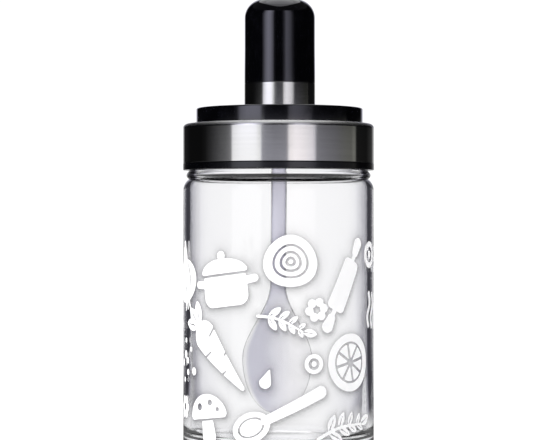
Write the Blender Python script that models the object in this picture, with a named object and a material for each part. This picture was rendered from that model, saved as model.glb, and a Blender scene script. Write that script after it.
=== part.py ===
# Clear glass seasoning jar with a steel banded screw lid, a round knob
# and a spoon that hangs inside from the lid.
# Sizes are in millimetres; +Z is up and the origin is the middle of the foot.

from math import acos, cos, degrees, pi, radians, sin

import bmesh
import bpy

MM = 0.001
GAP = 0.3                  # clearance kept between touching pieces
SEGMENTS = 48              # facets round every turned piece

# Glass jar
JAR_RADIUS = 33.0
WALL = 2.3
FLOOR_Z = 6.0              # top of the thick glass base
FLOOR_CORNER = 4.0
FOOT_CORNER = 3.5          # the flat ring it stands on starts inside this corner
FOOT_INNER = 23.5
PUSH_UP = 1.2              # hollow under the base
SHOULDER_Z = 90.9
SHOULDER_RADIUS = 5.0
SHOULDER_TURN = 51         # degrees it curves in before it meets the bead
INNER_SHOULDER_Z = 91.43
INNER_SHOULDER_RADIUS = 2.86
INNER_TURN = 61.5          # degrees it curves in before it turns up into the neck
BEAD_Z = 96.2              # transfer bead under the lid
BEAD_SIZE = 1.23
BEAD_REACH = 31.87
BEAD_FOOT = -60            # degrees, where the bead ends above the shoulder
NECK_RADIUS = 31.3         # just above the bead
NECK_STEP = 0.33           # and this much narrower under the lid
NECK_STEP_Z = 97.79
NECK_INNER = 29.0
NECK_TOP_Z = 111.5
LIP = 0.8

# Lid
LID_RADIUS = 33.05
SKIRT_Z = 98.1
SKIRT_TOP_Z = 100.4
BAND_SHEET = 0.4
BAND_TOP_Z = 114.0
BAND_CORNER = 1.6
BAND_HOLE = 29.1
PLATE_Z = NECK_TOP_Z + GAP
SOCKET_RADIUS = 4.0
SOCKET_BORE = 3.4
SOCKET_Z = 98.0
SOCKET_TOP_Z = 111.4
DISC_RADIUS = 28.8
DISC_TOP_Z = 119.4
DISC_EDGE = 0.5

# Knob
KNOB_RADIUS = 12.25
KNOB_TOP_RADIUS = 12.15
COLLAR_TOP_Z = 128.4
KNOB_CORNER = 6.5
KNOB_CORNER_TURN = 84      # degrees, short of flat because the crown is domed
KNOB_CROWN = 0.6
KNOB_TOP_Z = 158.3

# Spoon
STEM_HALF_WIDTH = 2.72
STEM_HALF_DEPTH = 2.2
STEM_TOP_Z = 111.0
STEM_END_Z = 58.5          # the stem widens into the bowl below this
BOWL_WIDEST_Z = 32.9
BOWL_HALF_WIDTH = 12.05
SPOON_TIP_Z = 13.9
BOWL_DEPTH = 5.5
BOWL_FORWARD = 1.4         # how far the rim stands in front of the stem
BOWL_HALF_SHEET = 0.85
BOWL_THINS_BY = 1.5        # the stem's thickness is gone this much sooner than its width
BOWL_EDGE = 0.4            # how much flatter the bowl's edge is than the round stem
TIP_THINNING = 0.35
SPOON_HANG_Z = 104.6
SPOON_OFFSET = 0.3
SPOON_LEAN = 0.6           # degrees off plumb
BOWL_STEPS = 12            # sections above the widest place
TIP_STEPS = 9              # sections from there to the tip
TIP_LAST_ANGLE = 82
SPOON_AROUND = 20

SOFT_EDGE = 0.3


def arc(centre_r, centre_z, radius, start, end, steps):
    """Points of an arc in the turning plane, angles in degrees."""
    points = []
    for i in range(steps + 1):
        angle = radians(start + (end - start) * i / steps)
        points.append((centre_r + radius * cos(angle), centre_z + radius * sin(angle)))
    return points


def smooth_step(t):
    t = min(max(t, 0.0), 1.0)
    return t * t * (3.0 - 2.0 * t)


def plain_material(name, colour, roughness, metallic=0.0, transmission=0.0):
    material = bpy.data.materials.new(name)
    material.use_nodes = True
    shader = material.node_tree.nodes["Principled BSDF"]
    shader.inputs["Base Color"].default_value = (*colour, 1.0)
    shader.inputs["Roughness"].default_value = roughness
    shader.inputs["Metallic"].default_value = metallic
    shader.inputs["Transmission Weight"].default_value = transmission
    return material


def add_object(name, mesh, material):
    part = bpy.data.objects.new(name, mesh)
    bpy.context.collection.objects.link(part)
    mesh.materials.append(material)
    return part


def turned(name, profile, material, closed=False):
    """Turn a profile about Z; it runs down the outer side of the solid."""
    mesh = bpy.data.meshes.new(name)
    points = [(r * MM, 0.0, z * MM) for r, z in profile]
    edges = [(i, i + 1) for i in range(len(points) - 1)]
    if closed:
        edges.append((len(points) - 1, 0))
    mesh.from_pydata(points, edges, [])
    part = add_object(name, mesh, material)
    screw = part.modifiers.new("Turn", "SCREW")
    screw.axis = "Z"
    screw.steps = SEGMENTS
    screw.render_steps = SEGMENTS
    screw.use_merge_vertices = True
    screw.merge_threshold = 0.00001
    screw.use_smooth_shade = True
    return part


def jar_profile():
    inner = JAR_RADIUS - WALL
    profile = [(0.0, FLOOR_Z)]
    profile += arc(inner - FLOOR_CORNER, FLOOR_Z + FLOOR_CORNER, FLOOR_CORNER, -90, 0, 5)
    turn_in = inner - INNER_SHOULDER_RADIUS
    profile += arc(turn_in, INNER_SHOULDER_Z, INNER_SHOULDER_RADIUS, 0, INNER_TURN, 4)
    bend_r, bend_z = profile[-1]
    turn = radians(INNER_TURN)
    turn_up = (bend_r - NECK_INNER) / (1.0 - cos(turn))
    profile += arc(NECK_INNER + turn_up, bend_z + turn_up * sin(turn), turn_up, 180 + INNER_TURN, 180, 2)[1:]
    profile += arc(NECK_INNER + LIP, NECK_TOP_Z - LIP, LIP, 180, 90, 2)
    upper = NECK_RADIUS - NECK_STEP
    profile += arc(upper - LIP, NECK_TOP_Z - LIP, LIP, 90, 0, 2)
    profile.append((upper, NECK_STEP_Z))
    bead_top = degrees(acos((NECK_RADIUS - BEAD_REACH + BEAD_SIZE) / BEAD_SIZE))
    profile += arc(BEAD_REACH - BEAD_SIZE, BEAD_Z, BEAD_SIZE, bead_top, BEAD_FOOT, 6)
    profile += arc(JAR_RADIUS - SHOULDER_RADIUS, SHOULDER_Z, SHOULDER_RADIUS, SHOULDER_TURN, 0, 5)
    profile += arc(JAR_RADIUS - FOOT_CORNER, FOOT_CORNER, FOOT_CORNER, 0, -90, 5)
    for i in range(5):
        r = FOOT_INNER * (1.0 - i / 5)
        profile.append((r, PUSH_UP * (1.0 - (r / FOOT_INNER) ** 2)))
    profile.append((0.0, PUSH_UP))
    return profile


def lid_body_profile():
    seat = LID_RADIUS - BAND_SHEET - GAP
    top = BAND_TOP_Z - BAND_SHEET - GAP
    inner = NECK_RADIUS - NECK_STEP + GAP
    return [
        (0.0, top),
        (seat - BAND_CORNER, top),
        (seat, top - BAND_CORNER),
        (seat, SKIRT_TOP_Z),
        (LID_RADIUS - SOFT_EDGE, SKIRT_TOP_Z),
        (LID_RADIUS, SKIRT_TOP_Z - SOFT_EDGE),
        (LID_RADIUS, SKIRT_Z + SOFT_EDGE),
        (LID_RADIUS - SOFT_EDGE, SKIRT_Z),
        (inner + SOFT_EDGE, SKIRT_Z),
        (inner, SKIRT_Z + SOFT_EDGE),
        (inner, PLATE_Z),
        (SOCKET_RADIUS, PLATE_Z),
        (SOCKET_RADIUS, SOCKET_Z + SOFT_EDGE),
        (SOCKET_RADIUS - SOFT_EDGE, SOCKET_Z),
        (SOCKET_BORE, SOCKET_Z),
        (SOCKET_BORE, SOCKET_TOP_Z),
        (0.0, SOCKET_TOP_Z),
    ]


def band_profile():
    centre_r = LID_RADIUS - BAND_CORNER
    centre_z = BAND_TOP_Z - BAND_CORNER
    bottom = SKIRT_TOP_Z + GAP
    profile = [(BAND_HOLE, BAND_TOP_Z - BAND_SHEET), (BAND_HOLE, BAND_TOP_Z)]
    profile += arc(centre_r, centre_z, BAND_CORNER, 90, 0, 4)
    profile += [(LID_RADIUS, bottom), (LID_RADIUS - BAND_SHEET, bottom)]
    profile += arc(centre_r, centre_z, BAND_CORNER - BAND_SHEET, 0, 90, 4)
    return profile


def puck_profile(radius, bottom, top, edge):
    """A plain round block with its edges taken off."""
    return [
        (0.0, top),
        (radius - edge, top),
        (radius, top - edge),
        (radius, bottom + SOFT_EDGE),
        (radius - SOFT_EDGE, bottom),
        (0.0, bottom),
    ]


def knob_profile():
    flat = KNOB_TOP_RADIUS - KNOB_CORNER
    level = KNOB_TOP_Z - KNOB_CROWN
    bottom = COLLAR_TOP_Z + GAP
    half = 0.5
    profile = [(0.0, KNOB_TOP_Z), (flat * half, KNOB_TOP_Z - KNOB_CROWN * half * half)]
    profile += arc(flat, level - KNOB_CORNER, KNOB_CORNER, KNOB_CORNER_TURN, 0, 8)
    profile += [(KNOB_RADIUS, bottom + SOFT_EDGE), (KNOB_RADIUS - SOFT_EDGE, bottom), (0.0, bottom)]
    return profile


def spoon_sections():
    """Height, half width, dish, half thickness and edge roundness, from stem to tip."""
    sections = []
    for z in (STEM_TOP_Z, SOCKET_Z):
        sections.append((z, STEM_HALF_WIDTH, 0.0, STEM_HALF_DEPTH, 1.0))
    for i in range(BOWL_STEPS):
        t = i / BOWL_STEPS
        z = STEM_END_Z + (BOWL_WIDEST_Z - STEM_END_Z) * t
        spread = smooth_step(t)
        width = STEM_HALF_WIDTH + (BOWL_HALF_WIDTH - STEM_HALF_WIDTH) * spread
        sheet = STEM_HALF_DEPTH + (BOWL_HALF_SHEET - STEM_HALF_DEPTH) * smooth_step(t * BOWL_THINS_BY)
        sections.append((z, width, spread, sheet, 1.0 - BOWL_EDGE * spread))
    for i in range(TIP_STEPS):
        t = radians(TIP_LAST_ANGLE * i / (TIP_STEPS - 1))
        z = BOWL_WIDEST_Z - (BOWL_WIDEST_Z - SPOON_TIP_Z) * sin(t)
        sheet = BOWL_HALF_SHEET * cos(t) ** TIP_THINNING
        sections.append((z, BOWL_HALF_WIDTH * cos(t), cos(t) ** 2, sheet, 1.0 - BOWL_EDGE))
    return sections


def spoon_mesh():
    shape = bmesh.new()
    rings = []
    for z, width, dish, sheet, roundness in spoon_sections():
        forward = BOWL_FORWARD * smooth_step((STEM_END_Z - z) / (STEM_END_Z - BOWL_WIDEST_Z))
        ring = []
        for i in range(SPOON_AROUND):
            angle = 2.0 * pi * i / SPOON_AROUND
            side = 1.0 if sin(angle) >= 0.0 else -1.0
            across = width * cos(angle)
            depth = BOWL_DEPTH * dish * sin(angle) ** 2 - forward
            depth += side * sheet * abs(sin(angle)) ** roundness
            ring.append(shape.verts.new((across * MM, depth * MM, (z - SPOON_HANG_Z) * MM)))
        rings.append(ring)
    for upper, lower in zip(rings, rings[1:]):
        for i in range(SPOON_AROUND):
            j = (i + 1) % SPOON_AROUND
            shape.faces.new((upper[j], upper[i], lower[i], lower[j]))
    shape.faces.new(rings[0])
    tip = shape.verts.new((0.0, -BOWL_FORWARD * MM, (SPOON_TIP_Z - SPOON_HANG_Z) * MM))
    for i in range(SPOON_AROUND):
        shape.faces.new((rings[-1][(i + 1) % SPOON_AROUND], rings[-1][i], tip))
    bmesh.ops.recalc_face_normals(shape, faces=shape.faces)
    mesh = bpy.data.meshes.new("spoon")
    shape.to_mesh(mesh)
    shape.free()
    mesh.shade_smooth()
    return mesh


def add_spoon(material):
    spoon = add_object("spoon", spoon_mesh(), material)
    spoon.location = (SPOON_OFFSET * MM, 0.0, SPOON_HANG_Z * MM)
    spoon.rotation_euler = (0.0, radians(SPOON_LEAN), 0.0)


def build():
    for old in list(bpy.data.objects):
        bpy.data.objects.remove(old, do_unlink=True)
    glass = plain_material("clear_glass", (0.95, 0.96, 0.97), 0.02, transmission=1.0)
    steel = plain_material("polished_steel", (0.62, 0.61, 0.60), 0.2, metallic=1.0)
    black = plain_material("black_plastic", (0.012, 0.012, 0.014), 0.18)
    clear_plastic = plain_material("smoky_plastic", (0.72, 0.71, 0.78), 0.15, transmission=0.6)
    turned("jar_glass", jar_profile(), glass)
    turned("lid_body", lid_body_profile(), black)
    turned("lid_band", band_profile(), steel, closed=True)
    disc_bottom = BAND_TOP_Z - BAND_SHEET
    turned("lid_disc", puck_profile(DISC_RADIUS, disc_bottom, DISC_TOP_Z, DISC_EDGE), black)
    collar_bottom = DISC_TOP_Z + GAP
    turned("knob_collar", puck_profile(KNOB_RADIUS, collar_bottom, COLLAR_TOP_Z, SOFT_EDGE), steel)
    turned("knob", knob_profile(), black)
    add_spoon(clear_plastic)


build()
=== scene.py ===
from math import acos, atan2, ceil, cos, degrees, pi, radians, sin, tan

import bmesh
import bpy
import numpy as np
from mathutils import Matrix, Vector


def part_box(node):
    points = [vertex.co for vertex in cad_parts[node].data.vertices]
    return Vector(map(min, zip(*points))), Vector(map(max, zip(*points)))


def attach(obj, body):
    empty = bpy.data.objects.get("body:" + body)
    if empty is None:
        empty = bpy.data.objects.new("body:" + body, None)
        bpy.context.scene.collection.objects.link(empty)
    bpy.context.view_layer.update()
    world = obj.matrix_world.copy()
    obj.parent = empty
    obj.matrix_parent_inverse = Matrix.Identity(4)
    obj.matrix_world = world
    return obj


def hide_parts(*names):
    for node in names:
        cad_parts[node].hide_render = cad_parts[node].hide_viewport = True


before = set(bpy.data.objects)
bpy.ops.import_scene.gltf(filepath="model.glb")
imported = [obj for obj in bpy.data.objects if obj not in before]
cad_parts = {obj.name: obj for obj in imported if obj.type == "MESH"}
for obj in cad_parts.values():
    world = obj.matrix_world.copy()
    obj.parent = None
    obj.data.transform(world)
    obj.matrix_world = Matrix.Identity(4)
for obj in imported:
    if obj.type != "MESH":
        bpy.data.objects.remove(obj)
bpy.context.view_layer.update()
mm = 0.001
print("frame loaded")

# Camera, level and a little left of the jar's axis, as the photograph was taken

view = {"distance": 0.72, "height": 0.0808, "aside": -0.00122, "lens": 136.0}

lens = bpy.data.cameras.new("photoCamera")
lens.lens = view["lens"]
lens.sensor_width = 36.0
camera = bpy.data.objects.new("photoCamera", lens)
camera.location = (view["aside"], -view["distance"], view["height"])
camera.rotation_euler = (radians(90), 0.0, 0.0)
bpy.context.scene.collection.objects.link(camera)
bpy.context.scene.camera = camera
print("camera set")


# Turned pieces: an outline is a list of (radius, height) points in millimetres

def smoothStep(t):
    t = min(max(t, 0.0), 1.0)
    return t * t * (3.0 - 2.0 * t)


def arcPoints(r, z, radius, start, end, step=10.0):
    count = max(2, ceil(abs(end - start) / step))
    angles = [radians(start + (end - start) * k / count) for k in range(count + 1)]
    return [(r + radius * cos(a), z + radius * sin(a)) for a in angles]


def roundCorners(corners, loop=False):
    # each corner is (radius, height, rounding)
    path = []
    for i, (r, z, rounding) in enumerate(corners):
        if rounding <= 0.0 or (not loop and i in (0, len(corners) - 1)):
            path.append((r, z))
            continue
        here = Vector((r, z))
        back = (Vector(corners[i - 1][:2]) - here).normalized()
        onward = (Vector(corners[(i + 1) % len(corners)][:2]) - here).normalized()
        half = back.angle(onward) / 2
        middle = here + (back + onward).normalized() * (rounding / sin(half))
        start = here + back * (rounding / tan(half)) - middle
        end = here + onward * (rounding / tan(half)) - middle
        first = degrees(atan2(start.y, start.x))
        sweep = degrees(atan2(start.x * end.y - start.y * end.x, start.dot(end)))
        path += arcPoints(middle.x, middle.y, rounding, first, first + sweep)
    return path


def holdEdges(outline, loop=False, hold=0.05):
    # a ring close to each end of a long straight run, so that smooth shading leaves the run straight
    held = []
    ends = outline[1:] + (outline[:1] if loop else [])
    for (r, z), (nextR, nextZ) in zip(outline, ends):
        held.append((r, z))
        run = ((nextR - r) ** 2 + (nextZ - z) ** 2) ** 0.5
        if run > 20 * hold:
            for share in (hold / run, 1.0 - hold / run):
                held.append((r + (nextR - r) * share, z + (nextZ - z) * share))
    return held if loop else held + outline[-1:]


def finishMesh(name, shape, sharpAngle=40):
    bmesh.ops.recalc_face_normals(shape, faces=shape.faces)
    mesh = bpy.data.meshes.new(name)
    shape.to_mesh(mesh)
    shape.free()
    mesh.shade_smooth()
    mesh.set_sharp_from_angle(angle=radians(sharpAngle))
    piece = bpy.data.objects.new(name, mesh)
    bpy.context.scene.collection.objects.link(piece)
    return piece


def turnPiece(name, outline, spokes=144, loop=False, aside=0.0):
    shape = bmesh.new()
    rings = []
    for r, z in holdEdges(outline, loop):
        if r < 1e-6:
            rings.append([shape.verts.new((aside * mm, 0.0, z * mm))])
            continue
        turns = [2.0 * pi * k / spokes for k in range(spokes)]
        rings.append([shape.verts.new(((r * cos(a) + aside) * mm, r * sin(a) * mm, z * mm)) for a in turns])
    pairs = list(zip(rings, rings[1:]))
    if loop:
        pairs.append((rings[-1], rings[0]))
    for upper, lower in pairs:
        for k in range(spokes):
            n = (k + 1) % spokes
            corners = [upper[k % len(upper)], upper[n % len(upper)],
                       lower[n % len(lower)], lower[k % len(lower)]]
            shape.faces.new(list(dict.fromkeys(corners)))
    return finishMesh(name, shape)


def settle(piece, material, slot, *nodes):
    piece.data.materials.append(material)
    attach(piece, "root")
    if nodes:
        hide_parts(*nodes)
    return piece


def outerSize(node):
    low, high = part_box(node)
    return high.x / mm, low.z / mm, high.z / mm


# Shared surface effects, one node group each

def newGroup(name, inputs, outputs):
    group = bpy.data.node_groups.new(name, "ShaderNodeTree")
    for label, value in inputs:
        socket = group.interface.new_socket(label, in_out="INPUT", socket_type="NodeSocketFloat")
        socket.default_value = value
    for label in outputs:
        group.interface.new_socket(label, in_out="OUTPUT", socket_type="NodeSocketFloat")
    nodes = group.nodes
    return group, nodes, group.links, nodes.new("NodeGroupInput"), nodes.new("NodeGroupOutput")


def math(nodes, links, operation, *values):
    node = nodes.new("ShaderNodeMath")
    node.operation = operation
    for i, value in enumerate(values):
        if isinstance(value, (int, float)):
            node.inputs[i].default_value = value
        else:
            links.new(value, node.inputs[i])
    return node.outputs[0]


def scaledNoise(nodes, links, vector, scale, detail=2.0, rough=0.5):
    noise = nodes.new("ShaderNodeTexNoise")
    noise.inputs["Detail"].default_value = detail
    noise.inputs["Roughness"].default_value = rough
    links.new(vector, noise.inputs["Vector"])
    if isinstance(scale, (int, float)):
        noise.inputs["Scale"].default_value = scale
    else:
        links.new(scale, noise.inputs["Scale"])
    return noise.outputs["Fac"]


def makeSoftWaves():
    # the slow unevenness of poured glass and moulded plastic
    group, nodes, links, inside, out = newGroup(
        "softWaves", [("Wave Scale", 60.0), ("Ripple Scale", 400.0), ("Ripple Share", 0.15)], ["Height"])
    where = nodes.new("ShaderNodeTexCoord").outputs["Object"]
    slow = scaledNoise(nodes, links, where, inside.outputs["Wave Scale"], 1.0)
    fine = scaledNoise(nodes, links, where, inside.outputs["Ripple Scale"], 2.0)
    share = math(nodes, links, "MULTIPLY", fine, inside.outputs["Ripple Share"])
    links.new(math(nodes, links, "ADD", slow, share), out.inputs["Height"])
    return group


def makeTurnedGrain():
    # fine rings left by polishing a piece on a lathe, with a slow change along each ring
    group, nodes, links, inside, out = newGroup(
        "turnedGrain", [("Rings Per Metre", 9000.0), ("Broken Lines", 0.35)], ["Grain", "Streaks"])
    where = nodes.new("ShaderNodeTexCoord").outputs["Object"]
    parts = nodes.new("ShaderNodeSeparateXYZ")
    links.new(where, parts.inputs[0])
    across = math(nodes, links, "MULTIPLY", parts.outputs["X"], parts.outputs["X"])
    along = math(nodes, links, "MULTIPLY", parts.outputs["Y"], parts.outputs["Y"])
    radius = math(nodes, links, "SQRT", math(nodes, links, "ADD", across, along))
    turn = math(nodes, links, "ARCTAN2", parts.outputs["Y"], parts.outputs["X"])
    joined = nodes.new("ShaderNodeCombineXYZ")
    links.new(math(nodes, links, "MULTIPLY", radius, inside.outputs["Rings Per Metre"]), joined.inputs["X"])
    links.new(math(nodes, links, "MULTIPLY", turn, inside.outputs["Broken Lines"]), joined.inputs["Y"])
    links.new(math(nodes, links, "MULTIPLY", parts.outputs["Z"], inside.outputs["Rings Per Metre"]),
              joined.inputs["Z"])
    links.new(scaledNoise(nodes, links, joined.outputs[0], 1.0, 3.0, 0.65), out.inputs["Grain"])
    wide = nodes.new("ShaderNodeVectorMath")
    wide.operation = "MULTIPLY"
    wide.inputs[1].default_value = (0.09, 1.6, 0.09)
    links.new(joined.outputs[0], wide.inputs[0])
    links.new(scaledNoise(nodes, links, wide.outputs[0], 1.0, 2.0, 0.5), out.inputs["Streaks"])
    return group


def makeDustSpecks():
    group, nodes, links, inside, out = newGroup(
        "dustSpecks", [("Speck Scale", 900.0), ("Speck Size", 0.07), ("Share", 0.5)], ["Specks"])
    where = nodes.new("ShaderNodeTexCoord").outputs["Object"]
    cells = nodes.new("ShaderNodeTexVoronoi")
    links.new(where, cells.inputs["Vector"])
    links.new(inside.outputs["Speck Scale"], cells.inputs["Scale"])
    parts = nodes.new("ShaderNodeSeparateColor")
    links.new(cells.outputs["Color"], parts.inputs[0])
    size = math(nodes, links, "MULTIPLY", inside.outputs["Speck Size"], parts.outputs["Green"])
    close = math(nodes, links, "LESS_THAN", cells.outputs["Distance"], size)
    chosen = math(nodes, links, "LESS_THAN", parts.outputs["Red"], inside.outputs["Share"])
    links.new(math(nodes, links, "MULTIPLY", close, chosen), out.inputs["Specks"])
    return group


def makeSmudges():
    # faint patches left by handling
    group, nodes, links, inside, out = newGroup(
        "smudges", [("Patch Scale", 45.0), ("Low", 0.52), ("High", 0.75)], ["Smudge"])
    where = nodes.new("ShaderNodeTexCoord").outputs["Object"]
    patch = scaledNoise(nodes, links, where, inside.outputs["Patch Scale"], 4.0, 0.6)
    ramp = nodes.new("ShaderNodeMapRange")
    ramp.interpolation_type = "SMOOTHSTEP"
    links.new(patch, ramp.inputs["Value"])
    links.new(inside.outputs["Low"], ramp.inputs["From Min"])
    links.new(inside.outputs["High"], ramp.inputs["From Max"])
    links.new(ramp.outputs[0], out.inputs["Smudge"])
    return group


softWaves = makeSoftWaves()
turnedGrain = makeTurnedGrain()
dustSpecks = makeDustSpecks()
smudges = makeSmudges()


def newMaterial(name, **constants):
    material = bpy.data.materials.new(name)
    material.use_nodes = True
    nodes, links = material.node_tree.nodes, material.node_tree.links
    shader = nodes["Principled BSDF"]
    for label, value in constants.items():
        shader.inputs[label.replace("_", " ")].default_value = value
    return material, nodes, links, shader


def place(nodes, group, **values):
    node = nodes.new("ShaderNodeGroup")
    node.node_tree = group
    for label, value in values.items():
        node.inputs[label.replace("_", " ")].default_value = value
    return node


def mixColour(nodes, links, factor, low, high):
    mix = nodes.new("ShaderNodeMix")
    mix.data_type = "RGBA"
    links.new(factor, mix.inputs["Factor"])
    for socket, value in ((mix.inputs[6], low), (mix.inputs[7], high)):
        if isinstance(value, tuple):
            socket.default_value = (*value, 1.0)
        else:
            links.new(value, socket)
    return mix.outputs[2]


def spread(nodes, links, value, low, high):
    # a value from 0 to 1 brought into the range low to high
    return math(nodes, links, "MULTIPLY_ADD", value, high - low, low)


def softRamp(nodes, links, value, low, high):
    ramp = nodes.new("ShaderNodeMapRange")
    ramp.interpolation_type = "SMOOTHSTEP"
    ramp.inputs["From Min"].default_value = low
    ramp.inputs["From Max"].default_value = high
    links.new(value, ramp.inputs["Value"])
    return ramp.outputs[0]


def bump(nodes, links, height, strength, distance):
    node = nodes.new("ShaderNodeBump")
    node.inputs["Strength"].default_value = strength
    node.inputs["Distance"].default_value = distance
    links.new(height, node.inputs["Height"])
    return node.outputs[0]


print("surface effects ready")


# Printed motifs. Each is a field in millimetres, below zero inside the ink

def spot(x, y, cx, cy, r):
    return np.hypot(x - cx, y - cy) - r


def bar(x, y, start, end, r, endR=None):
    ax, ay = start
    dx, dy = end[0] - ax, end[1] - ay
    t = np.clip(((x - ax) * dx + (y - ay) * dy) / (dx * dx + dy * dy), 0.0, 1.0)
    return np.hypot(x - ax - t * dx, y - ay - t * dy) - (r + t * ((r if endR is None else endR) - r))


def strokeLine(x, y, points, widths):
    field = np.full_like(x, 99.0)
    for i in range(len(points) - 1):
        field = np.minimum(field, bar(x, y, points[i], points[i + 1], widths[i], widths[i + 1]))
    return field


def turnedTo(x, y, cx, cy, angle):
    a = radians(angle)
    return (x - cx) * cos(a) + (y - cy) * sin(a), (y - cy) * cos(a) - (x - cx) * sin(a)


def leafBlade(x, y, root, angle, length, width, veins=0):
    lx, ly = turnedTo(x, y, root[0], root[1], angle)
    bow = (length * length / 4 + width * width) / (2 * width)
    field = np.maximum(np.hypot(lx - length / 2, ly - (bow - width)) - bow,
                       np.hypot(lx - length / 2, ly + (bow - width)) - bow)
    field = np.maximum(field, -bar(lx, ly, (0, 0), (length * 0.8, 0), 0.32, 0.15))
    for i in range(veins):
        start = length * (0.18 + 0.55 * i / veins)
        for side in (1, -1):
            tip = (start + width * 0.6, side * width * 0.66)
            field = np.maximum(field, -bar(lx, ly, (start, 0), tip, 0.27, 0.14))
    return field


def citrusSlice(x, y):
    rho = np.hypot(x, y)
    wedge = pi / 4
    fold = np.mod(np.arctan2(y, x), wedge) - wedge / 2
    flesh = np.maximum(rho - 5.7, 0.42 - rho * np.sin(wedge / 2 - np.abs(fold)))
    return np.minimum(np.abs(rho - 7.6) - 1.25, flesh)


def garlicBulb(x, y):
    body = (np.hypot(x / 7.8, y / 6.4) - 1.0) * 6.6
    field = np.minimum(body, bar(x, y, (0, 4.0), (1.6, 11.0), 3.0, 0.9))
    for k in (-0.52, 0.0, 0.52):
        ridge = np.abs(x - k * 7.8 * np.sqrt(np.clip(1 - (y / 7.4) ** 2, 0, 1))) - 0.3
        field = np.maximum(field, -np.maximum(ridge, np.abs(y - 0.3) - 4.6))
    for k in (-1, 0, 1):
        field = np.minimum(field, bar(x, y, (k * 1.3, -6.4), (k * 1.9, -8.4), 0.5, 0.35))
    return field


def mushroom(x, y):
    cap = np.maximum((np.hypot(x / 8.4, y / 7.0) - 1.0) * 7.2, -y)
    cap = np.minimum(cap, bar(x, y, (-7.2, 0.3), (7.2, 0.3), 1.1))
    for cx, cy, r in ((-3.3, 3.1, 1.2), (1.9, 4.2, 1.0), (4.9, 1.9, 0.75)):
        cap = np.maximum(cap, -spot(x, y, cx, cy, r))
    stalk = np.maximum(bar(x, y, (0, 0), (0.3, -6.4), 2.4, 3.0), y + 1.5)
    return np.minimum(cap, stalk)


def leafSprig(x, y):
    stem = [(i * 2.6, 1.5 * sin(i * 0.42)) for i in range(10)]
    field = strokeLine(x, y, stem, [0.7 - 0.03 * i for i in range(10)])
    for i in (2, 4, 6, 8):
        for side in (1, -1):
            size = 8.6 - 0.45 * i
            field = np.minimum(field, leafBlade(x, y, stem[i], side * 48 + 6, size, size * 0.22))
    return np.minimum(field, leafBlade(x, y, stem[9], 6, 7.6, 2.0))


def broadLeaf(x, y):
    blade = leafBlade(x, y, (0, 0), 0, 24.0, 5.8, 5)
    return np.minimum(blade, bar(x, y, (-4.8, -1.2), (0.6, 0), 0.9, 0.7))


def ribbonWave(x, y):
    points = [(-17.0 + i, 3.0 * sin(i * 0.6)) for i in range(35)]
    return strokeLine(x, y, points, [0.7 + 2.0 * sin(pi * (i + 1) / 37) ** 0.6 for i in range(35)])


def roundedBox(x, y, cx, cy, w, h, r):
    dx, dy = np.abs(x - cx) - (w - r), np.abs(y - cy) - (h - r)
    return np.hypot(np.maximum(dx, 0), np.maximum(dy, 0)) + np.minimum(np.maximum(dx, dy), 0) - r


def onionSlice(x, y):
    rho = np.hypot(x, 1.06 * y) * (1.0 + 0.035 * np.sin(3.0 * np.arctan2(y, x)))
    rings = [np.abs(rho - middle) - half for middle, half in ((7.6, 1.5), (4.5, 0.75), (2.3, 0.5))]
    return np.minimum.reduce(rings + [rho - 0.8])


def cookingPot(x, y):
    body = np.maximum(roundedBox(x, y, 0, -2.2, 8.6, 6.2, 3.4), y - 1.6)
    lid = np.maximum((np.hypot(x / 9.2, (y - 2.9) / 4.4) - 1.0) * 5.0, 2.9 - y)
    pot = np.minimum.reduce([body, lid, bar(x, y, (-8.4, 3.3), (8.4, 3.3), 0.8), spot(x, y, 0, 8.3, 1.5)])
    for side in (1, -1):
        pot = np.minimum(pot, bar(x, y, (side * 8.2, -0.6), (side * 11.4, -0.2), 1.25))
    return pot


def rollingPin(x, y):
    pin = roundedBox(x, y, 0, 0, 8.8, 3.4, 1.5)
    for side in (1, -1):
        pin = np.minimum(pin, bar(x, y, (side * 8.5, 0), (side * 10.6, 0), 0.8))
        pin = np.minimum(pin, bar(x, y, (side * 11.6, 0), (side * 14.6, 0), 1.5, 2.0))
    return pin


def woodenSpoon(x, y):
    head = (np.hypot((x + 11.5) / 6.8, y / 4.9) - 1.0) * 5.6
    hollow = np.abs((np.hypot((x + 11.5) / 4.5, y / 2.9) - 1.0) * 3.5) - 0.3
    return np.minimum(np.maximum(head, -hollow), bar(x, y, (-6, 0), (15, 0), 1.5, 2.1))


def carrot(x, y):
    root = bar(x, y, (-8.0, 0), (14.0, -1.2), 5.0, 0.7)
    for cx, side in ((-7.0, 1), (-3.0, -1), (1.5, 1), (5.5, -1)):
        root = np.maximum(root, -bar(x, y, (cx, side * 5.2), (cx + 0.6, side * 1.6), 0.4, 0.28))
    for turn in (142, 180, 218):
        root = np.minimum(root, leafBlade(x, y, (-12.2, 0), turn, 8.4, 2.0))
    return root


def blossom(x, y):
    turns = [2.0 * pi * i / 6 for i in range(6)]
    petals = np.minimum.reduce([spot(x, y, 2.4 * cos(a), 2.4 * sin(a), 1.35) for a in turns])
    return np.maximum(petals, 1.0 - np.hypot(x, y))


def steam(x, y):
    rise = range(-5, 6)
    return np.minimum.reduce([strokeLine(x, y, [(aside + 0.9 * sin(i * 0.7), i) for i in rise], [0.7] * 11)
                              for aside in (-3.4, 0.0, 3.4)])


def drop(x, y):
    return bar(x, y, (0, 0), (0, 5.8), 2.5, 0.15)


def seedDots(x, y):
    field = np.full_like(x, 99.0)
    for i in range(8):
        reach = 2.6 * i ** 0.5
        grain = 1.05 + 0.25 * sin(i * 1.7)
        field = np.minimum(field, spot(x, y, reach * cos(i * 2.4), reach * sin(i * 2.4), grain))
    return field


def oliveRing(x, y):
    return np.minimum(np.abs(np.hypot(x, y) - 3.3) - 0.85, np.hypot(x, y) - 1.2)


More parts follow.
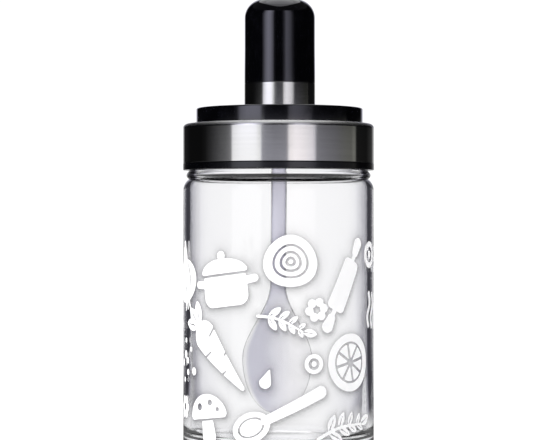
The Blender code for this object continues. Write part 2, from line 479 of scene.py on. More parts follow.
# each motif's place on the glass: along it from the middle of the front, height, turn and size
printLayout = [
    (garlicBulb, -42, 60, 14, 1.15),
    (cookingPot, -19.6, 60.5, 7, 1.02),
    (onionSlice, 4, 67, 0, 1.0),
    (rollingPin, 24, 59, 63, 1.05),
    (oliveRing, 40, 69, 0, 1.1),
    (leafSprig, -7, 49, -17, 0.68),
    (blossom, 13, 51, 10, 1.1),
    (carrot, -22, 36, -44, 1.05),
    (steam, 43, 50, -6, 1.1),
    (citrusSlice, 27, 33, 12, 1.1),
    (seedDots, -40, 33, 0, 1.1),
    (mushroom, -27, 15, 7, 1.05),
    (woodenSpoon, 1, 17, 26, 1.0),
    (oliveRing, 12, 33, 0, 0.8),
    (drop, -4.5, 27, -20, 0.8),
    (leafSprig, 13.5, 8, 14, 0.84),
    (blossom, -43, 17, 0, 1.1),
    (broadLeaf, 57, 9, 98, 0.8),
    (ribbonWave, -52, 38, 84, 0.55),
    (seedDots, 51, 67, 30, 0.9),
    (drop, -51, 14, 12, 0.9),
]
inkPrint = {"edge": 60.0, "low": 3.6, "high": 82.0, "cell": 0.36, "lift": 0.01, "sheet": 0.03,
            "shadowDark": 0.75, "shadowReach": 1.3, "shadowAside": 0.2, "shadowDrop": 0.5,
            "shadowFades": (34.0, 44.0)}


def inkField(u, v):
    # u runs along the glass from the middle of its front, v is the height
    field = np.full_like(u, 99.0)
    for motif, cu, cv, angle, size in printLayout:
        near = np.hypot(u - cu, v - cv) < 34 * size
        x, y = turnedTo(u[near], v[near], cu, cv, angle)
        field[near] = np.minimum(field[near], motif(x / size, y / size) * size)
    return field


def inkOutline(field, u, v):
    # cells of the grid cut along the ink's edge, as points and faces
    field[np.abs(field) < 0.02] = 0.02
    inside = field < 0
    points, index, faces = [], {}, []

    def pointAt(a, b):
        key = (min(a, b), max(a, b))
        if key not in index:
            one, two = key
            t = 0.0 if one == two else field[one] / (field[one] - field[two])
            index[key] = len(points)
            points.append((u[one] + t * (u[two] - u[one]), v[one] + t * (v[two] - v[one])))
        return index[key]

    touched = inside[:-1, :-1] | inside[1:, :-1] | inside[:-1, 1:] | inside[1:, 1:]
    for row, col in zip(*(axis.tolist() for axis in np.nonzero(touched))):
        ring = [(row, col), (row, col + 1), (row + 1, col + 1), (row + 1, col)]
        face = []
        for a, b in zip(ring, ring[1:] + ring[:1]):
            if inside[a]:
                face.append(pointAt(a, a))
            if inside[a] != inside[b]:
                face.append(pointAt(a, b))
        if len(face) > 2:
            faces.append(face)
    return points, faces


def makePrint(material, radius):
    p = inkPrint
    u, v = np.meshgrid(np.arange(-p["edge"], p["edge"], p["cell"]), np.arange(p["low"], p["high"], p["cell"]))
    points, faces = inkOutline(inkField(u, v), u, v)
    shape = bmesh.new()
    skins = []
    for r in (radius + p["lift"] + p["sheet"], radius + p["lift"]):
        skins.append([shape.verts.new((r * sin(a / radius) * mm, -r * cos(a / radius) * mm, z * mm))
                      for a, z in points])
    outer, inner = skins
    rims = {}
    for face in faces:
        shape.faces.new([outer[i] for i in face])
        shape.faces.new([inner[i] for i in reversed(face)])
        for a, b in zip(face, face[1:] + face[:1]):
            if rims.pop((b, a), None) is None:
                rims[(a, b)] = True
    for a, b in rims:
        shape.faces.new((outer[b], outer[a], inner[a], inner[b]))
    return settle(finishMesh("inkPrint", shape), material, "white_print")


def shadeGlass(piece, radius):
    # painted shadow: the soft grey round the ink, painted into the glass's colour and kept at the glass's own
    # points
    p = inkPrint
    count = len(piece.data.vertices)
    places = np.zeros(count * 3)
    piece.data.vertices.foreach_get("co", places)
    x, y, z = (places.reshape(-1, 3) / mm).T
    u = np.arctan2(x, -y) * radius - p["shadowAside"]
    shade = np.zeros(count)
    skin = np.hypot(x, y) > radius - 0.05
    distance = inkField(u[skin], z[skin] + p["shadowDrop"])
    front = np.interp(np.abs(u[skin]), p["shadowFades"], [1.0, 0.0])
    shade[skin] = p["shadowDark"] * front * np.exp(-np.maximum(distance, 0.0) / p["shadowReach"])
    layer = piece.data.attributes.new("inkShade", "FLOAT", "POINT")
    layer.data.foreach_set("value", shade)


def makeInk():
    p = {"white": (0.93, 0.93, 0.93), "thinInkAndPaintedLight": (0.86, 0.87, 0.88), "rough": 0.38, "screen": 3200.0,
         "lightThrough": 0.4}
    material, nodes, links, shader = newMaterial("whiteInk", IOR=1.5)
    waves = place(nodes, softWaves, Wave_Scale=220.0, Ripple_Scale=p["screen"], Ripple_Share=0.6)
    handled = place(nodes, smudges, Patch_Scale=160.0, Low=0.55, High=0.8)
    links.new(mixColour(nodes, links, handled.outputs[0], p["white"], p["thinInkAndPaintedLight"]), shader.inputs["Base Color"])
    links.new(spread(nodes, links, waves.outputs[0], p["rough"] - 0.08, p["rough"] + 0.08),
              shader.inputs["Roughness"])
    links.new(bump(nodes, links, waves.outputs[0], 0.25, 0.00004), shader.inputs["Normal"])
    # thin ink lets some light through to its other side
    through = nodes.new("ShaderNodeBsdfTranslucent")
    through.inputs["Color"].default_value = (*p["white"], 1.0)
    blend = nodes.new("ShaderNodeMixShader")
    blend.inputs[0].default_value = p["lightThrough"]
    links.new(shader.outputs[0], blend.inputs[1])
    links.new(through.outputs[0], blend.inputs[2])
    links.new(blend.outputs[0], nodes["Material Output"].inputs["Surface"])
    return material


# Clear glass jar

glassJar = {"wall": 2.3, "floor": 6.0, "floorCorner": 4.0, "footCorner": 3.5, "footRing": 23.5, "pushUp": 1.2,
            "shoulderZ": 90.9, "shoulderCurve": 5.0, "beadZ": 96.2, "beadCurve": 1.23, "beadReach": 31.87,
            "innerShoulderZ": 91.43, "innerCurve": 2.86, "neckBend": 61.5, "bore": 29.0, "neck": 31.3,
            "neckStep": 0.33, "stepZ": 97.79, "lip": 0.8,
            "tint": (0.985, 0.985, 0.99), "rim": (0.85, 0.848, 0.89),
            "paintedInkShadow": (0.0, 0.0, 0.004), "waviness": 0.12}


def jarOutline(radius, top):
    p = glassJar
    inner = radius - p["wall"]
    low = p["footCorner"]
    outline = [(inner * 0.86 * k / 6, p["floor"]) for k in range(6)]
    outline += arcPoints(inner - p["floorCorner"], p["floor"] + p["floorCorner"], p["floorCorner"], -90, 0, 8)
    bend = radians(p["neckBend"])
    turnUp = (inner - p["innerCurve"] * (1.0 - cos(bend)) - p["bore"]) / (1.0 - cos(bend))
    outline += arcPoints(inner - p["innerCurve"], p["innerShoulderZ"], p["innerCurve"], 0, p["neckBend"], 5)
    bendTop = p["innerShoulderZ"] + (p["innerCurve"] + turnUp) * sin(bend)
    outline += arcPoints(p["bore"] + turnUp, bendTop, turnUp, 180 + p["neckBend"], 180, 4)[1:]
    outline += [(p["bore"], 104.0)]
    upper = p["neck"] - p["neckStep"]
    outline += arcPoints(p["bore"] + p["lip"], top - p["lip"], p["lip"], 180, 90, 15)
    outline += arcPoints(upper - p["lip"], top - p["lip"], p["lip"], 90, 0, 15)
    beadTop = acos((p["neck"] - p["beadReach"] + p["beadCurve"]) / p["beadCurve"])
    fall = p["stepZ"] - p["beadZ"] - p["beadCurve"] * sin(beadTop)
    outline += [(upper + p["neckStep"] * smoothStep(k / 6), p["stepZ"] - fall * k / 6) for k in range(6)]
    outline += arcPoints(p["beadReach"] - p["beadCurve"], p["beadZ"], p["beadCurve"],
                         degrees(beadTop), -60, 6)
    outline += arcPoints(radius - p["shoulderCurve"], p["shoulderZ"], p["shoulderCurve"], 51, 0, 5)
    rows = 110  # close rings, which carry the print's soft grey
    outline += [(radius, p["shoulderZ"] + (low - p["shoulderZ"]) * k / rows) for k in range(1, rows)]
    outline += arcPoints(radius - low, low, low, 0, -90, 8)
    for k in range(9):
        r = p["footRing"] * (1.0 - k / 9)
        outline.append((r, p["pushUp"] * (1.0 - (r / p["footRing"]) ** 2)))
    return outline + [(0.0, p["pushUp"])]


def makeGlass():
    p = glassJar
    material, nodes, links, shader = newMaterial(
        "clearGlass", IOR=1.5, Transmission_Weight=1.0, Metallic=0.0)
    # painted shade: the glass's colour darkens where its surface turns away from view
    facing = nodes.new("ShaderNodeLayerWeight")
    facing.inputs["Blend"].default_value = 0.22
    body = mixColour(nodes, links, facing.outputs["Facing"], p["tint"], p["rim"])
    # painted shadow round the print, mixed into the glass's colour
    shade = nodes.new("ShaderNodeAttribute")
    shade.attribute_name = "inkShade"
    links.new(mixColour(nodes, links, shade.outputs["Fac"], body, p["paintedInkShadow"]), shader.inputs["Base Color"])
    handled = place(nodes, smudges, Patch_Scale=38.0, Low=0.56, High=0.8)
    links.new(spread(nodes, links, handled.outputs[0], 0.0, 0.02), shader.inputs["Roughness"])
    waves = place(nodes, softWaves, Wave_Scale=48.0, Ripple_Scale=190.0, Ripple_Share=0.08)
    links.new(bump(nodes, links, waves.outputs[0], p["waviness"], 0.0006), shader.inputs["Normal"])
    rays = nodes.new("ShaderNodeLightPath")
    clear = nodes.new("ShaderNodeBsdfTransparent")
    clear.inputs["Color"].default_value = (0.93, 0.93, 0.94, 1.0)
    blend = nodes.new("ShaderNodeMixShader")
    links.new(rays.outputs["Is Shadow Ray"], blend.inputs[0])
    links.new(shader.outputs[0], blend.inputs[1])
    links.new(clear.outputs[0], blend.inputs[2])
    links.new(blend.outputs[0], nodes["Material Output"].inputs["Surface"])
    return material


jarRadius, _, jarTop = outerSize("jar_glass")
jar = turnPiece("glassJar", jarOutline(jarRadius, jarTop), spokes=288)
shadeGlass(jar, jarRadius)
settle(jar, makeGlass(), "clear_glass", "jar_glass")
print("glass jar made")
inkPiece = makePrint(makeInk(), jarRadius)
print("print made", len(inkPiece.data.polygons))


# Black plastic: cap, disc and knob

blackPlastic = {"colour": (0.0005, 0.0005, 0.0008), "worn": (0.0016, 0.0016, 0.0024),
                "dust": (0.02, 0.02, 0.02)}


def makeBlack(name, rough, coat, orangePeel, specks):
    p = blackPlastic
    material, nodes, links, shader = newMaterial(
        name, IOR=1.5, Coat_Weight=coat, Coat_Roughness=0.03, Coat_IOR=1.5,
        Specular_Tint=(0.86, 0.87, 1.0, 1.0))
    handled = place(nodes, smudges, Patch_Scale=110.0, Low=0.5, High=0.8)
    dust = place(nodes, dustSpecks, Speck_Scale=700.0, Speck_Size=0.11, Share=specks)
    body = mixColour(nodes, links, handled.outputs[0], p["colour"], p["worn"])
    links.new(mixColour(nodes, links, dust.outputs[0], body, p["dust"]), shader.inputs["Base Color"])
    links.new(spread(nodes, links, handled.outputs[0], rough, rough + 0.07), shader.inputs["Roughness"])
    waves = place(nodes, softWaves, Wave_Scale=90.0, Ripple_Scale=1500.0, Ripple_Share=orangePeel)
    links.new(bump(nodes, links, waves.outputs[0], 0.1, 0.0002), shader.inputs["Normal"])
    return material


glossBlack = makeBlack("glossBlack", 0.06, 1.0, 0.04, 0.03)
satinBlack = makeBlack("satinBlack", 0.2, 0.25, 0.12, 0.06)

screwCap = {"bandSeat": 0.7, "skirtTop": 100.4, "edge": 0.3, "capTop": 113.3, "plate": 111.8, "bore": 31.27,
            "socket": 4.0, "socketBore": 3.4, "socketTop": 111.4}


def capOutline(radius, low):
    p = screwCap
    seat = radius - p["bandSeat"]
    return roundCorners([
        (0.0, p["capTop"], 0.0), (seat, p["capTop"], 0.9), (seat, p["skirtTop"], 0.0),
        (radius, p["skirtTop"], p["edge"]), (radius, low, p["edge"]), (p["bore"], low, p["edge"]),
        (p["bore"], p["plate"], 0.5), (p["socket"], p["plate"], 0.4), (p["socket"], low, 0.2),
        (p["socketBore"], low, 0.1), (p["socketBore"], p["socketTop"], 0.2), (0.0, p["socketTop"], 0.0)])


capRadius, capLow, _ = outerSize("lid_body")
settle(turnPiece("screwCap", capOutline(capRadius, capLow)), satinBlack, "black_plastic", "lid_body")

seat = 0.28  # the sleeve, collar and knob reach this much lower, onto the piece below
lidDisc = {"edge": 0.5, "lowEdge": 0.2, "aside": 0.35}
discRadius, discLow, discHigh = outerSize("lid_disc")
discOutline = roundCorners([(0.0, discHigh, 0.0), (discRadius, discHigh, lidDisc["edge"]),
                            (discRadius, discLow, lidDisc["lowEdge"]), (0.0, discLow, 0.0)])
settle(turnPiece("lidDisc", discOutline, aside=lidDisc["aside"]), glossBlack, "black_plastic", "lid_disc")

knobShape = {"topRadius": 12.15, "taperEnd": 140.0, "corner": 6.5, "cornerTurn": 68.0, "lowEdge": 0.15,
             "aside": 0.45, "lower": 0.4}


def knobOutline(radius, low, high):
    # a shallow crown that runs on into the rounded corner
    p = knobShape
    middle = p["topRadius"] - p["corner"]
    turn = radians(p["cornerTurn"])
    crown = (middle + p["corner"] * cos(turn)) / cos(turn)
    outline = arcPoints(0.0, high - crown, crown, 90, p["cornerTurn"], 4)
    cornerZ = high - (crown - p["corner"]) * (1.0 - sin(turn)) - p["corner"]
    outline += arcPoints(middle, cornerZ, p["corner"], p["cornerTurn"], 0, 5)[1:]
    return outline + roundCorners([(p["topRadius"], p["taperEnd"], 0.0), (radius, low, p["lowEdge"]),
                                   (0.0, low, 0.0)])


knobRadius, knobLow, knobHigh = outerSize("knob")
knobLow -= seat + knobShape["lower"]
settle(turnPiece("roundKnob", knobOutline(knobRadius, knobLow, knobHigh), aside=knobShape["aside"]),
       glossBlack, "black_plastic", "knob")
print("black plastic made")


# Steel sleeve and collar

steelFinish = {"colour": (0.63, 0.63, 0.63), "dull": (0.55, 0.55, 0.55), "rough": 0.08, "topEdge": 0.36,
               "paintedHighlight": (0.9, 0.9, 0.9), "grain": 0.012, "stretch": 0.7}


def makeSteel():
    p = steelFinish
    material, nodes, links, shader = newMaterial(
        "turnedSteel", Metallic=1.0, Anisotropic=p["stretch"], Anisotropic_Rotation=0.25)
    grain = place(nodes, turnedGrain, Rings_Per_Metre=11000.0, Broken_Lines=0.5)
    handled = place(nodes, smudges, Patch_Scale=70.0, Low=0.5, High=0.8)
    body = mixColour(nodes, links, grain.outputs["Streaks"], p["dull"], p["colour"])
    # painted highlight: the colour is lightened towards the rounded top edge, which is also made rougher
    topEdge = nodes.new("ShaderNodeAttribute")
    topEdge.attribute_name = "topEdge"
    links.new(mixColour(nodes, links, topEdge.outputs["Fac"], body, p["paintedHighlight"]), shader.inputs["Base Color"])
    rough = spread(nodes, links, grain.outputs["Grain"], p["rough"] - 0.03, p["rough"] + 0.06)
    rough = math(nodes, links, "MULTIPLY_ADD", handled.outputs[0], 0.05, rough)
    links.new(math(nodes, links, "MULTIPLY_ADD", topEdge.outputs["Fac"], p["topEdge"], rough),
              shader.inputs["Roughness"])
    links.new(bump(nodes, links, grain.outputs["Grain"], p["grain"], 0.00006), shader.inputs["Normal"])
    roundAxis = nodes.new("ShaderNodeTangent")
    roundAxis.direction_type = "RADIAL"
    roundAxis.axis = "Z"
    links.new(roundAxis.outputs[0], shader.inputs["Tangent"])
    return material


turnedSteel = makeSteel()
steelSleeve = {"sheet": 0.4, "hole": 29.1, "corner": 1.6, "hem": 0.12}
bandRadius, bandLow, bandHigh = outerSize("lid_band")
bandLow -= seat
inside = bandRadius - steelSleeve["sheet"]
bandOutline = roundCorners([
    (steelSleeve["hole"], bandHigh - steelSleeve["sheet"], 0.08), (steelSleeve["hole"], bandHigh, 0.12),
    (bandRadius, bandHigh, steelSleeve["corner"]), (bandRadius, bandLow, steelSleeve["hem"]),
    (inside, bandLow, steelSleeve["hem"]),
    (inside, bandHigh - steelSleeve["sheet"], steelSleeve["corner"] - steelSleeve["sheet"])], loop=True)
sleeve = turnPiece("steelSleeve", bandOutline, spokes=192, loop=True)
# its rounded top edge gets a painted highlight and more roughness
topEdgeShare = [smoothStep(2.5 * ((point.co.z / mm - bandHigh) / steelSleeve["corner"] + 1.0))
              for point in sleeve.data.vertices]
sleeve.data.attributes.new("topEdge", "FLOAT", "POINT").data.foreach_set("value", topEdgeShare)
settle(sleeve, turnedSteel, "polished_steel", "lid_band")

steelCollar = {"edge": 0.15}
collarRadius, collarLow, collarHigh = outerSize("knob_collar")
collarLow -= seat
collarHigh -= knobShape["lower"]
collarOutline = roundCorners([(0.0, collarHigh, 0.0), (collarRadius, collarHigh, steelCollar["edge"]),
                              (collarRadius, collarLow, steelCollar["edge"]), (0.0, collarLow, 0.0)])
settle(turnPiece("steelCollar", collarOutline, aside=knobShape["aside"]), turnedSteel, "polished_steel",
       "knob_collar")
print("steel made")


# Spoon that hangs from the cap

dipSpoon = {"stemWidth": 2.72, "stemDepth": 2.2, "stemTop": 111.0, "stemEnd": 58.5, "widest": 32.9,
            "bowlWidth": 12.05, "tip": 13.9, "bowlDepth": 5.5, "forward": 1.4, "sheet": 0.85,
            "hang": 104.6, "offset": 0.3, "lean": 0.6, "around": 48,
            "thinInkAndPaintedLight": (1.0, 0.995, 1.0), "thick": (0.67, 0.665, 0.76), "stem": (0.66, 0.652, 0.745),
            "rim": (1.0, 1.0, 1.0), "leftEdgeLight": 1.0, "rightEdgeLight": 1.0, "seeThrough": 0.8, "rough": 0.14}


def spoonSections():
    # height, half width, how far the section is dished, half thickness and edge roundness
    p = dipSpoon
    sections = [(p["stemTop"] - 13.0 * k / 4, p["stemWidth"], 0.0, p["stemDepth"], 1.0) for k in range(4)]
    sections += [(98.0 - 39.5 * k / 8, p["stemWidth"], 0.0, p["stemDepth"], 1.0) for k in range(8)]
    for k in range(36):
        t = k / 36
        wide = smoothStep(t)
        thickness = p["stemDepth"] + (p["sheet"] - p["stemDepth"]) * smoothStep(t * 1.5)
        sections.append((p["stemEnd"] + (p["widest"] - p["stemEnd"]) * t,
                         p["stemWidth"] + (p["bowlWidth"] - p["stemWidth"]) * wide, wide,
                         thickness, 1.0 - 0.4 * wide))
    for k in range(25):
        a = radians(86.0 * k / 24)
        sections.append((p["widest"] - (p["widest"] - p["tip"]) * sin(a), p["bowlWidth"] * cos(a),
                         cos(a) ** 2, p["sheet"] * cos(a) ** 0.35, 0.6))
    return sections


def makeSpoon(material):
    p = dipSpoon
    shape = bmesh.new()
    rim = shape.verts.layers.float.new("rim")
    rings = []
    for z, width, dish, sheet, roundness in spoonSections():
        forward = p["forward"] * smoothStep((p["stemEnd"] - z) / (p["stemEnd"] - p["widest"]))
        ring = []
        for k in range(p["around"]):
            a = 2.0 * pi * k / p["around"]
            side = 1.0 if sin(a) >= 0.0 else -1.0
            depth = p["bowlDepth"] * dish * sin(a) ** 2 - forward + side * sheet * abs(sin(a)) ** roundness
            ring.append(shape.verts.new((width * cos(a) * mm, depth * mm, (z - p["hang"]) * mm)))
            # painted highlight: the spoon's colour is lightened along its left and right edges
            onRim = smoothStep((abs(cos(a)) - 0.82) / 0.1)
            ring[-1][rim] = onRim * (p["leftEdgeLight"] if cos(a) < 0.0 else p["rightEdgeLight"])
        rings.append(ring)
    for upper, lower in zip(rings, rings[1:]):
        for k in range(p["around"]):
            n = (k + 1) % p["around"]
            shape.faces.new((upper[n], upper[k], lower[k], lower[n]))
    shape.faces.new(rings[0])
    tip = shape.verts.new((0.0, -p["forward"] * mm, (p["tip"] - p["hang"]) * mm))
    for k in range(p["around"]):
        shape.faces.new((rings[-1][(k + 1) % p["around"]], rings[-1][k], tip))
    lean = radians(p["lean"])
    for point in shape.verts:
        x, z = point.co.x, point.co.z
        point.co.x = x * cos(lean) + z * sin(lean) + p["offset"] * mm
        point.co.z = z * cos(lean) - x * sin(lean) + p["hang"] * mm
    return settle(finishMesh("dipSpoon", shape, 50), material, "smoky_plastic", "spoon")


def makeSmoky():
    p = dipSpoon
    material, nodes, links, shader = newMaterial(
        "smokyPlastic", IOR=1.18, Transmission_Weight=p["seeThrough"], Coat_Weight=0.8, Coat_Roughness=0.12)
    parts = nodes.new("ShaderNodeSeparateXYZ")
    links.new(nodes.new("ShaderNodeTexCoord").outputs["Object"], parts.inputs[0])
    # painted shade and light: the bowl is coloured darker to the left and lighter to the right, and the stem
    # is solid
    across = softRamp(nodes, links, parts.outputs["X"], -9.0 * mm, 8.0 * mm)
    bowl = mixColour(nodes, links, across, p["thick"], p["thinInkAndPaintedLight"])
    solid = softRamp(nodes, links, parts.outputs["Z"], 48.0 * mm, 62.0 * mm)
    body = mixColour(nodes, links, solid, bowl, p["stem"])
    # painted highlight along the spoon's edges
    edge = nodes.new("ShaderNodeAttribute")
    edge.attribute_name = "rim"
    body = mixColour(nodes, links, edge.outputs["Fac"], body, p["rim"])
    handled = place(nodes, smudges, Patch_Scale=120.0, Low=0.45, High=0.8)
    worn = math(nodes, links, "MULTIPLY", handled.outputs[0], 0.2)
    links.new(mixColour(nodes, links, worn, body, p["stem"]), shader.inputs["Base Color"])
    links.new(spread(nodes, links, handled.outputs[0], p["rough"] - 0.04, p["rough"] + 0.06),
              shader.inputs["Roughness"])
    waves = place(nodes, softWaves, Wave_Scale=120.0, Ripple_Scale=1100.0, Ripple_Share=0.04)
    links.new(bump(nodes, links, waves.outputs[0], 0.08, 0.0003), shader.inputs["Normal"])
    return material


makeSpoon(makeSmoky())
print("spoon made")


# Studio: a round white wall and floor whose glow is uneven only for what is mirrored or seen through glass

studio = {"wallRadius": 1.3, "wallHeight": 0.96, "floorRadius": 3.0, "white": 1.05, "fill": 0.03,
          "floorGlow": 0.5, "floorMirrored": 0.12, "floorStripes": 0.6, "behindGlass": 1.0,
          "overhead": 0.5, "ceiling": 3.8, "key": 28.0, "rightShare": 0.4}
# degrees round from the middle of the front, positive to the right, and the glow there
lowGlow = [(-180, 1.0), (-165, 0.6), (-155, 0.02), (-131, 0.006), (-105, 0.006), (-97, 0.012), (-88, 0.045),
           (-80, 0.095), (-72, 0.16), (-65, 0.22), (-58, 0.32), (-55.6, 1.4), (-45, 1.48), (-30, 1.5),
           (-21.5, 1.44), (-19, 0.55), (-4, 0.5), (8, 0.53), (10, 0.62), (12.2, 1.5), (19, 1.66), (28, 1.52),
           (40, 1.32), (43.2, 1.0), (45.6, 0.38), (51, 0.35), (64, 0.28), (79, 0.215), (96, 0.18),
           (101, 0.26), (103.5, 0.22), (106, 0.014), (130, 0.01), (150, 0.05), (165, 0.6), (180, 1.0)]
discGlow = [(-180, 1.0), (-165, 0.6), (-155, 0.004), (-80, 0.004), (-65, 0.01), (-60, 0.15), (-54, 1.3),
            (-45, 1.9), (-34, 1.95), (-27, 1.8), (-22.5, 0.1), (-19, 0.005), (5, 0.01), (10, 0.04), (14, 0.6),
            (19, 0.78), (29, 0.62), (36, 0.3), (41, 0.06), (46, 0.005), (150, 0.004), (165, 0.6), (180, 1.0)]
collarGlow = [(-180, 1.0), (-165, 0.6), (-155, 0.008), (-90, 0.008), (-66, 0.01), (-59, 0.05), (-52, 1.2),
              (-44, 1.45), (-36, 1.5), (-27, 1.6), (-20, 1.65), (-14, 0.3), (-7, 0.05), (5, 0.05), (9, 0.2),
              (13, 1.3), (20, 1.65), (31, 1.65), (42, 1.4), (48, 0.2), (53, 0.02), (95, 0.012), (150, 0.008),
              (165, 0.6), (180, 1.0)]
highGlow = [(-180, 1.0), (-165, 0.5), (-155, 0.004), (-70, 0.004), (-60, 0.02), (-54, 0.5), (-47, 1.4),
            (-38, 2.1), (-30, 1.75), (-23, 0.9), (-18, 0.08), (-12, 0.01), (5, 0.01), (9, 0.05), (15, 0.3),
            (21, 0.9), (28, 0.8), (36, 0.5), (42, 0.16), (49, 0.02), (60, 0.004), (150, 0.004), (165, 0.5),
            (180, 1.0)]
seenGlow = [(-180, 1.0), (-172, 1.0), (-166, 0.84), (-162, 0.42), (-157.5, 0.07), (-141, 0.06), (-136, 0.42),
            (-130, 1.0), (130, 1.0), (136, 0.42), (141, 0.06), (157.5, 0.07), (162, 0.42), (166, 0.84),
            (172, 1.0), (180, 1.0)]
# the same for tints: cool in the dim parts, a little warm on the right
lowTint = [(-180, 1.0, 1.0, 1.0), (-80, 0.95, 0.95, 1.0), (-60, 0.97, 0.97, 1.0), (-56, 1.0, 1.0, 1.0),
           (-22, 1.0, 1.0, 1.0), (-19, 0.88, 0.88, 1.0), (8, 0.9, 0.89, 1.0), (13, 1.0, 0.94, 0.945),
           (30, 1.0, 0.94, 0.96), (42, 0.97, 0.93, 1.0), (46, 0.9, 0.89, 1.0), (70, 0.93, 0.92, 1.0),
           (90, 1.0, 1.0, 0.92), (102, 1.0, 1.0, 0.9), (110, 1.0, 1.0, 1.0), (180, 1.0, 1.0, 1.0)]
coolTint = [(0, 0.87, 0.86, 1.0)]
plainTint = [(0, 1.0, 1.0, 1.0)]
shadeTint = (0.9, 0.885, 1.08)


def glowAt(table, angle, tints=plainTint):
    # the colour of the glow at each angle
    def column(rows, k):
        return np.interp(angle, [row[0] for row in rows], [row[k] for row in rows])

    return np.stack([column(table, 1) * column(tints, k) for k in (1, 2, 3)], axis=1)


def studioMaterial(name, isFloor):
    # plain white to the camera, uneven for mirrored and refracted rays
    material, nodes, links, shader = newMaterial(name, Roughness=0.9)
    shader.inputs["Base Color"].default_value = (0.86, 0.86, 0.86, 1.0)
    rays = nodes.new("ShaderNodeLightPath")
    glows = {}
    for layer in ("mirrored", "seen", "direct"):
        read = nodes.new("ShaderNodeAttribute")
        read.attribute_name = layer
        glows[layer] = read.outputs["Color"]
    through = mixColour(nodes, links, rays.outputs["Is Transmission Ray"], glows["mirrored"], glows["seen"])
    glow = nodes.new("ShaderNodeEmission")
    links.new(mixColour(nodes, links, rays.outputs["Is Camera Ray"], through, glows["direct"]),
              glow.inputs["Color"])
    surface = glow.outputs[0]
    if isFloor:
        # the floor also takes the soft shadow, for the camera and for scattered light
        both = nodes.new("ShaderNodeAddShader")
        links.new(glow.outputs[0], both.inputs[0])
        links.new(shader.outputs[0], both.inputs[1])
        sharp = math(nodes, links, "MAXIMUM", rays.outputs["Is Transmission Ray"],
                     rays.outputs["Is Glossy Ray"])
        blend = nodes.new("ShaderNodeMixShader")
        links.new(sharp, blend.inputs[0])
        links.new(both.outputs[0], blend.inputs[1])
        links.new(glow.outputs[0], blend.inputs[2])
        surface = blend.outputs[0]
    links.new(surface, nodes["Material Output"].inputs["Surface"])
    return material


def studioRound(name, rings, isFloor, spokes=720):
    shape = bmesh.new()
    turns = [2.0 * pi * k / spokes for k in range(spokes)]
    loops = [[shape.verts.new((r * sin(a), -r * cos(a), z)) for a in turns] for r, z in rings]
    for upper, lower in zip(loops, loops[1:]):
        for k in range(spokes):
            n = (k + 1) % spokes
            shape.faces.new((upper[k], upper[n], lower[n], lower[k]))
    if isFloor:
        shape.faces.new(loops[0])
    mesh = bpy.data.meshes.new(name)
    shape.to_mesh(mesh)
    shape.free()
    mesh.materials.append(studioMaterial(name + "White", isFloor))
    ground = bpy.data.objects.new(name, mesh)
    bpy.context.scene.collection.objects.link(ground)
    places = np.zeros(len(mesh.vertices) * 3)
    mesh.vertices.foreach_get("co", places)
    x, y, z = places.reshape(-1, 3).T
    return mesh, np.degrees(np.arctan2(x, -y)), np.hypot(x, y), z


def keep(mesh, **layers):
    for name, colours in layers.items():
        opaque = np.column_stack([colours, np.ones(len(colours))])
        mesh.attributes.new(name, "FLOAT_COLOR", "POINT").data.foreach_set("color", opaque.ravel())


def seenThrough(angle):
    # white, with dim sides that tint the thick parts of the glass
    glow = glowAt(seenGlow, angle)
    return studio["behindGlass"] * glow * (1.0 + (1.0 - glow) * (np.array(shadeTint) - 1.0))


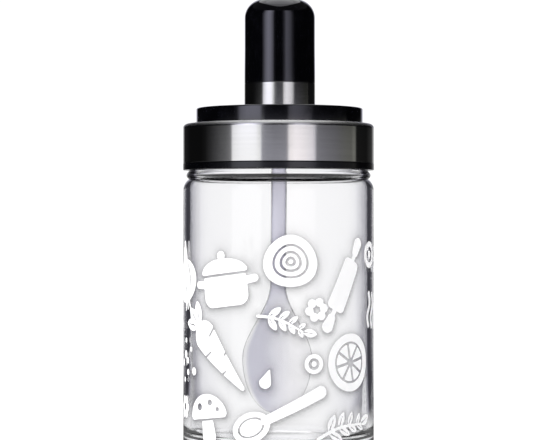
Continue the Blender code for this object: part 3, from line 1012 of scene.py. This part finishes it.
def makeStudio():
    p = studio
    r = p["wallRadius"]
    # the lowest part of the wall is mirrored in the sleeve, the next in the disc, collar and knob
    heights = [0.0, 0.172, 0.18, 0.1945, 0.1985, 0.217, 0.225, p["wallHeight"]]
    mesh, angle, reach, z = studioRound("studioWall", [(r, height) for height in heights], False)
    mirrored = glowAt(highGlow, angle, coolTint)
    for top, glow, tint in ((0.221, collarGlow, plainTint), (0.1965, discGlow, coolTint),
                            (0.176, lowGlow, lowTint)):
        mirrored[z < top] = glowAt(glow, angle[z < top], tint)
    keep(mesh, mirrored=mirrored, seen=seenThrough(angle), direct=np.full((len(z), 3), p["white"]))
    rings = [(0.02, 0.0), (0.06, 0.0), (0.12, 0.0), (0.2, 0.0), (0.32, 0.0), (0.5, 0.0), (r + 0.01, 0.0),
             (p["floorRadius"], 0.0)]
    mesh, angle, reach, z = studioRound("studioFloor", rings, True)
    away = np.clip((reach - 0.12) / 0.08, 0.0, 1.0)
    far = np.clip((reach - 0.2) / 0.12, 0.0, 1.0)[:, None]
    white = np.ones((len(z), 3))
    # further out the floor mirrors the wall's stripes, for the steel seen from above
    stripes = p["floorStripes"] * glowAt(lowGlow, angle, lowTint)
    keep(mesh, mirrored=white * p["floorMirrored"] * (1.0 - far) + far * stripes,
         seen=white * p["behindGlass"] + away[:, None] * (seenThrough(angle) - p["behindGlass"]),
         direct=white * np.interp(reach, [0.12, 0.5], [p["floorGlow"], p["white"]])[:, None])


def areaLight(name, place, target, size, power, hidden):
    lamp = bpy.data.lights.new(name, "AREA")
    lamp.shape = "ELLIPSE"
    lamp.size, lamp.size_y = size
    lamp.energy = power
    light = bpy.data.objects.new(name, lamp)
    light.location = place
    light.rotation_euler = (Vector(target) - Vector(place)).to_track_quat("-Z", "Y").to_euler()
    bpy.context.scene.collection.objects.link(light)
    light.visible_camera = False
    light.visible_glossy = not hidden
    light.visible_transmission = not hidden


makeStudio()
areaLight("overheadPanel", (0.0, 0.16, 0.95), (0.0, 0.16, 0.0), (0.7, 0.74), studio["overhead"], False)
areaLight("ceiling", (0.0, 0.46, 0.97), (0.0, 0.46, 0.0), (0.94, 1.9), studio["ceiling"], False)
areaLight("keyLeft", (-1.05, -0.62, 0.45), (0.0, 0.0, 0.06), (0.6, 0.6), studio["key"], True)
areaLight("keyRight", (0.8, -0.9, 0.4), (0.0, 0.0, 0.06), (0.6, 0.6),
          studio["key"] * studio["rightShare"], True)

world = bpy.data.worlds.new("studioAir")
bpy.context.scene.world = world
world.use_nodes = True
airNodes, airLinks = world.node_tree.nodes, world.node_tree.links
rays = airNodes.new("ShaderNodeLightPath")
white = airNodes.new("ShaderNodeMath")
white.operation = "MAXIMUM"
airLinks.new(rays.outputs["Is Camera Ray"], white.inputs[0])
airLinks.new(rays.outputs["Is Transmission Ray"], white.inputs[1])
strength = airNodes.new("ShaderNodeMix")
airLinks.new(white.outputs[0], strength.inputs["Factor"])
strength.inputs[2].default_value = studio["fill"]
strength.inputs[3].default_value = studio["white"]
airLinks.new(strength.outputs[0], airNodes["Background"].inputs["Strength"])
airNodes["Background"].inputs["Color"].default_value = (1.0, 1.0, 1.0, 1.0)
bpy.context.scene.view_settings.view_transform = "Standard"
print("studio lit")
